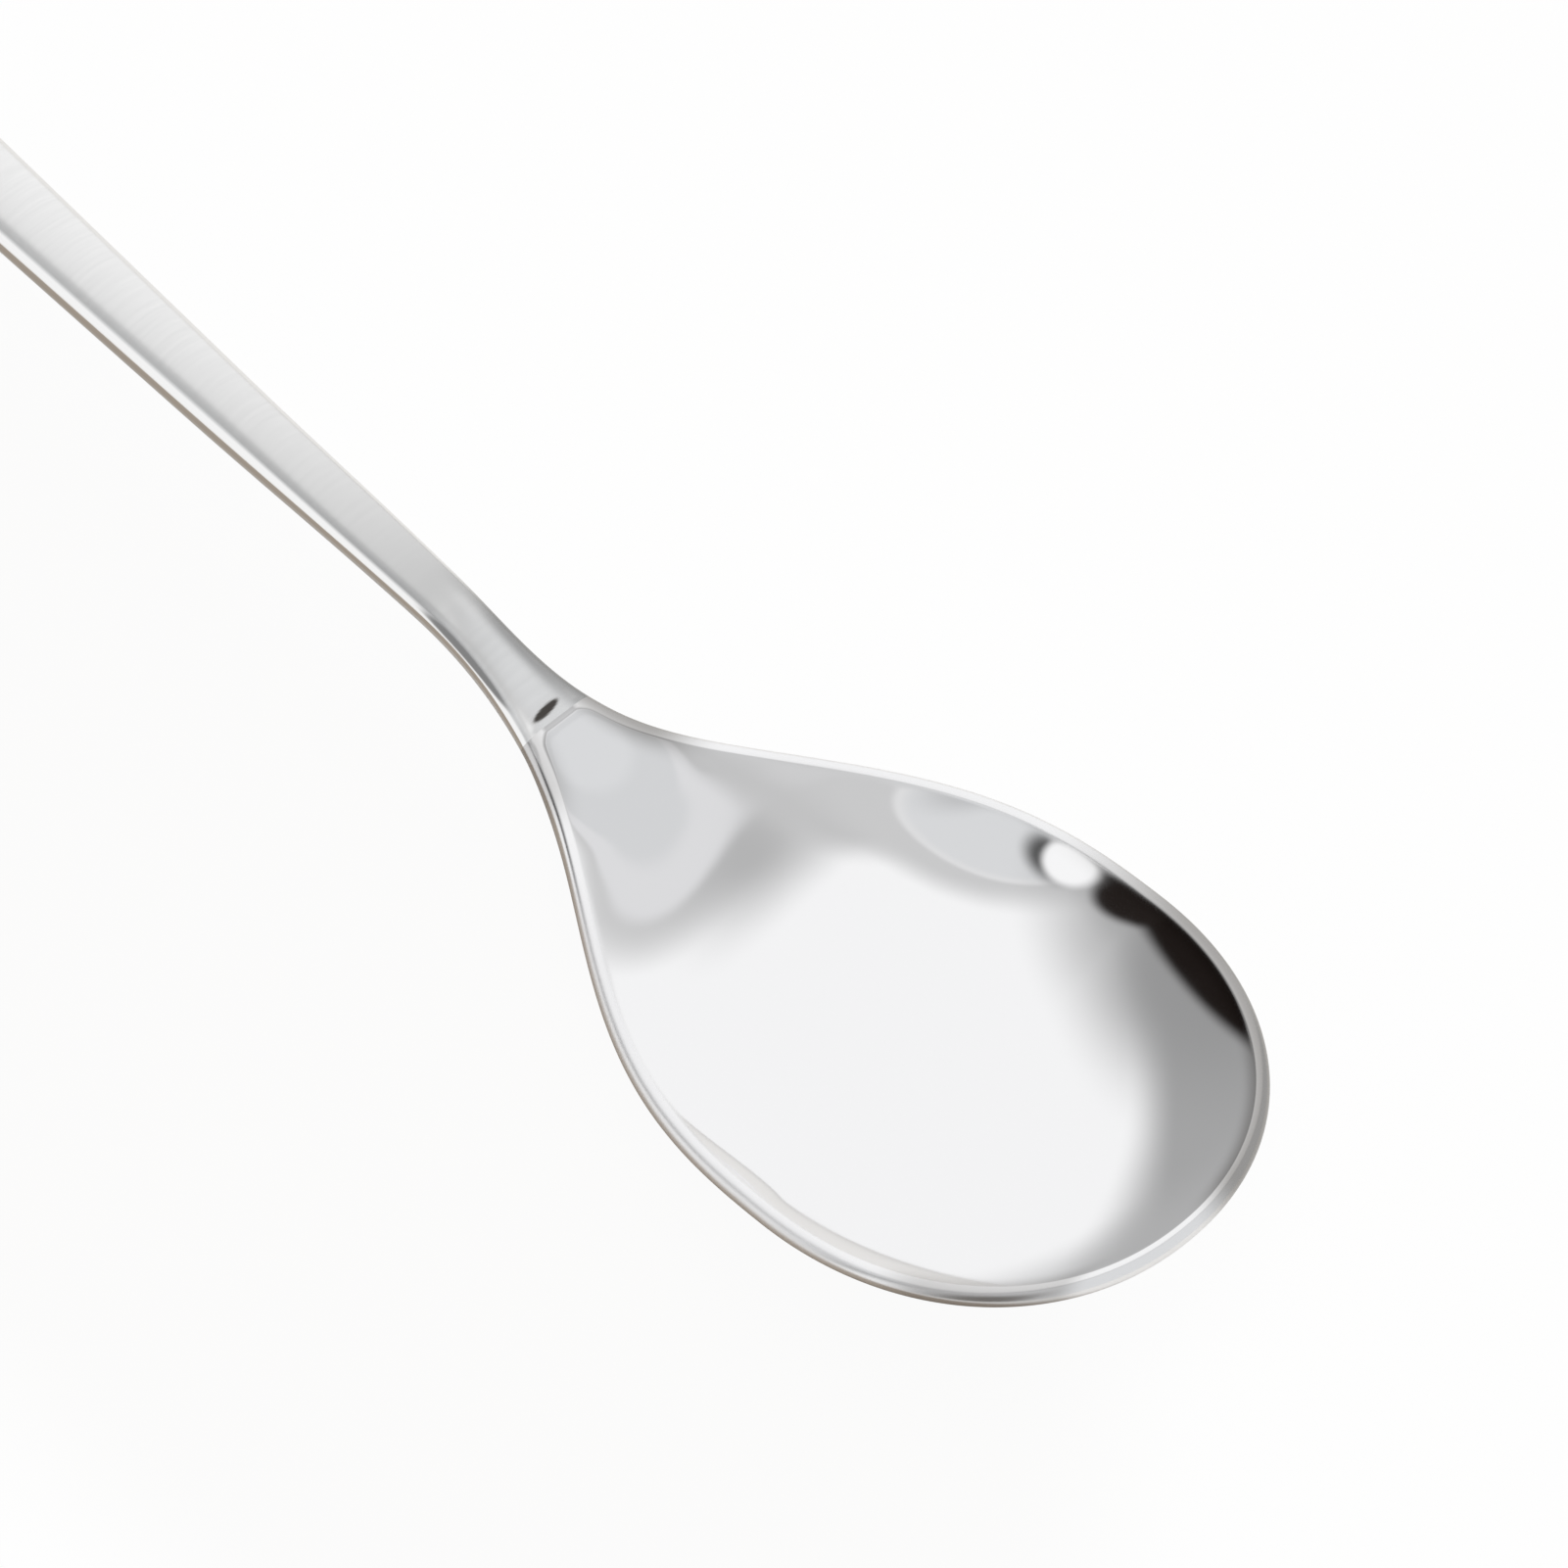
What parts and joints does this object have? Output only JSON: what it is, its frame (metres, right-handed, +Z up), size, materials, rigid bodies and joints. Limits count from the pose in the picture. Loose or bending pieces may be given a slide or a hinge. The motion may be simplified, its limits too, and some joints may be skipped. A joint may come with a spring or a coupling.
{
  "type": "ice cream spoon",
  "caption": "Wide egg-shaped mirror-polished spoon bowl on a slim satin bar handle, brazed together across the neck; scoops and serves soft food.",
  "frame": {"origin": "on the table under the middle of the spoon's length, the spoon lying on its belly and the heel of its handle", "axes": "+X along the spoon towards the bowl's tip, +Z up out of the bowl, Y across it"},
  "size_m": [0.1854, 0.0402, 0.012],
  "materials": {
    "polished_steel": "mirror polished",
    "satin_steel": "satin, brushed across the handle"
  },
  "bodies": {
    "root": {"bowl": "polished_steel", "handle": "satin_steel"}
  },
  "joints": []
}
